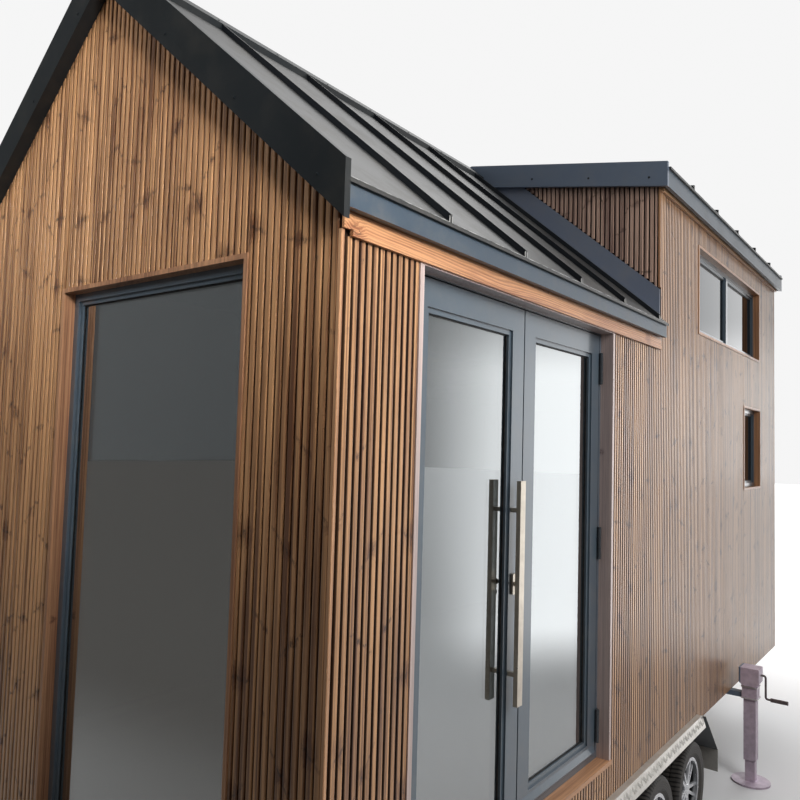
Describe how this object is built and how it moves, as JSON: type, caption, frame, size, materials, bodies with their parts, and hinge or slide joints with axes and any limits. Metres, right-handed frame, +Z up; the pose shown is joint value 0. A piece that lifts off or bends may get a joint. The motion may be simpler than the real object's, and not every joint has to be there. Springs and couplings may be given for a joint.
{
  "type": "tiny house on wheels",
  "caption": "Timber-clad gabled tiny house on a trailer, with a glazed double door, tall gable window, standing-seam roof, rear loft dormers, alloy wheels and corner jacks.",
  "frame": {"origin": "centre of the whole object's outline, on the ground", "axes": "+X from the glazed gable towards the tow coupling, +Y away from the door side, +Z up"},
  "size_m": [6.91, 3.0836, 3.9901],
  "materials": {
    "cladding_timber": "oiled thermally treated pine, fluted boards",
    "trim_timber": "oiled planed pine",
    "window_glass": "clear sealed pane",
    "roof_metal": "matt anthracite coated sheet",
    "joinery_metal": "satin anthracite powder coat",
    "hinge_metal": "satin black",
    "handle_metal": "brushed bar on black arms",
    "tyre_rubber": "moulded rubber",
    "alloy_rim": "machined alloy with dark recesses",
    "chequer_plate": "bright chequer plate",
    "jack_steel": "red-brown primer",
    "trailer_steel": "galvanized grey",
    "coupling_steel": "satin black",
    "floor_board": "plain board"
  },
  "bodies": {
    "house": {"axles": "trailer_steel", "chassis_rails": "trailer_steel", "cheek_flashings": "roof_metal", "coupling_head": "coupling_steel", "cross_members": "trailer_steel", "door_frame": "joinery_metal", "door_hinges": "hinge_metal", "door_sill": "trim_timber", "door_trim": "trim_timber", "dormer_cheeks": "cladding_timber", "dormer_roof_far": "roof_metal", "dormer_roof_near": "roof_metal", "dormer_verge_boards": "roof_metal", "drawbar": "trailer_steel", "eaves_boards": "trim_timber", "eaves_fascias": "roof_metal", "far_wall": "cladding_timber", "floor": "floor_board", "front_gable_wall": "cladding_timber", "front_verge_boards": "roof_metal", "jack_housings": "jack_steel", "loft_floor": "floor_board", "main_roof_far": "roof_metal", "main_roof_near": "roof_metal", "mudguards": "chequer_plate", "near_wall_front": "cladding_timber", "near_wall_over_door": "cladding_timber", "near_wall_rear": "cladding_timber", "near_wall_under_door": "cladding_timber", "rear_gable_wall": "cladding_timber", "ridge_caps": "roof_metal", "window_frames": "joinery_metal", "window_glass": "window_glass", "window_trims": "trim_timber"},
    "left_door": {"left_door_leaf": "joinery_metal", "left_door_glass": "window_glass", "pull_handles": "handle_metal"},
    "right_door": {"right_door_leaf": "joinery_metal", "right_door_glass": "window_glass"},
    "front_near_wheel": {"front_near_tyre": "tyre_rubber", "front_near_rim": "alloy_rim"},
    "front_far_wheel": {"front_far_tyre": "tyre_rubber", "front_far_rim": "alloy_rim"},
    "middle_near_wheel": {"middle_near_tyre": "tyre_rubber", "middle_near_rim": "alloy_rim"},
    "middle_far_wheel": {"middle_far_tyre": "tyre_rubber", "middle_far_rim": "alloy_rim"},
    "rear_near_wheel": {"rear_near_tyre": "tyre_rubber", "rear_near_rim": "alloy_rim"},
    "rear_far_wheel": {"rear_far_tyre": "tyre_rubber", "rear_far_rim": "alloy_rim"},
    "front_near_leg": {"front_near_jack_leg": "jack_steel"},
    "front_far_leg": {"front_far_jack_leg": "jack_steel"},
    "rear_near_leg": {"rear_near_jack_leg": "jack_steel"},
    "rear_far_leg": {"rear_far_jack_leg": "jack_steel"},
    "near_crank": {"near_jack_crank": "jack_steel"},
    "far_crank": {"far_jack_crank": "jack_steel"}
  },
  "joints": [
    {"name": "left_door_hinge", "type": "hinge", "parent": "house", "child": "left_door", "pos_m": [-3.0105, -1.1433, 0.825], "axis": [0, 0, -1], "range_deg": [0, 95]},
    {"name": "right_door_hinge", "type": "hinge", "parent": "house", "child": "right_door", "pos_m": [-1.5255, -1.1433, 0.825], "axis": [0, 0, 1], "range_deg": [0, 95]},
    {"name": "front_near_wheel_spin", "type": "hinge", "parent": "house", "child": "front_near_wheel", "pos_m": [-1.483, -1.22, 0.263], "axis": [0, 1, 0], "continuous": true},
    {"name": "front_far_wheel_spin", "type": "hinge", "parent": "house", "child": "front_far_wheel", "pos_m": [-1.483, 1.22, 0.263], "axis": [0, 1, 0], "continuous": true},
    {"name": "middle_near_wheel_spin", "type": "hinge", "parent": "house", "child": "middle_near_wheel", "pos_m": [-0.895, -1.22, 0.263], "axis": [0, 1, 0], "continuous": true},
    {"name": "middle_far_wheel_spin", "type": "hinge", "parent": "house", "child": "middle_far_wheel", "pos_m": [-0.895, 1.22, 0.263], "axis": [0, 1, 0], "continuous": true},
    {"name": "rear_near_wheel_spin", "type": "hinge", "parent": "house", "child": "rear_near_wheel", "pos_m": [-0.307, -1.22, 0.263], "axis": [0, 1, 0], "continuous": true},
    {"name": "rear_far_wheel_spin", "type": "hinge", "parent": "house", "child": "rear_far_wheel", "pos_m": [-0.307, 1.22, 0.263], "axis": [0, 1, 0], "continuous": true},
    {"name": "front_near_leg_slide", "type": "slide", "parent": "house", "child": "front_near_leg", "axis": [0, 0, 1], "range_m": [-0.25, 0.13]},
    {"name": "front_far_leg_slide", "type": "slide", "parent": "house", "child": "front_far_leg", "axis": [0, 0, 1], "range_m": [-0.25, 0.13]},
    {"name": "rear_near_leg_slide", "type": "slide", "parent": "house", "child": "rear_near_leg", "axis": [0, 0, 1], "range_m": [-0.25, 0.13]},
    {"name": "rear_far_leg_slide", "type": "slide", "parent": "house", "child": "rear_far_leg", "axis": [0, 0, 1], "range_m": [-0.25, 0.13]},
    {"name": "near_crank_turn", "type": "hinge", "parent": "house", "child": "near_crank", "pos_m": [0.718, -1.3765, 0.713], "axis": [0, 1, 0], "continuous": true},
    {"name": "far_crank_turn", "type": "hinge", "parent": "house", "child": "far_crank", "pos_m": [0.718, 1.3765, 0.713], "axis": [0, 1, 0], "continuous": true}
  ]
}
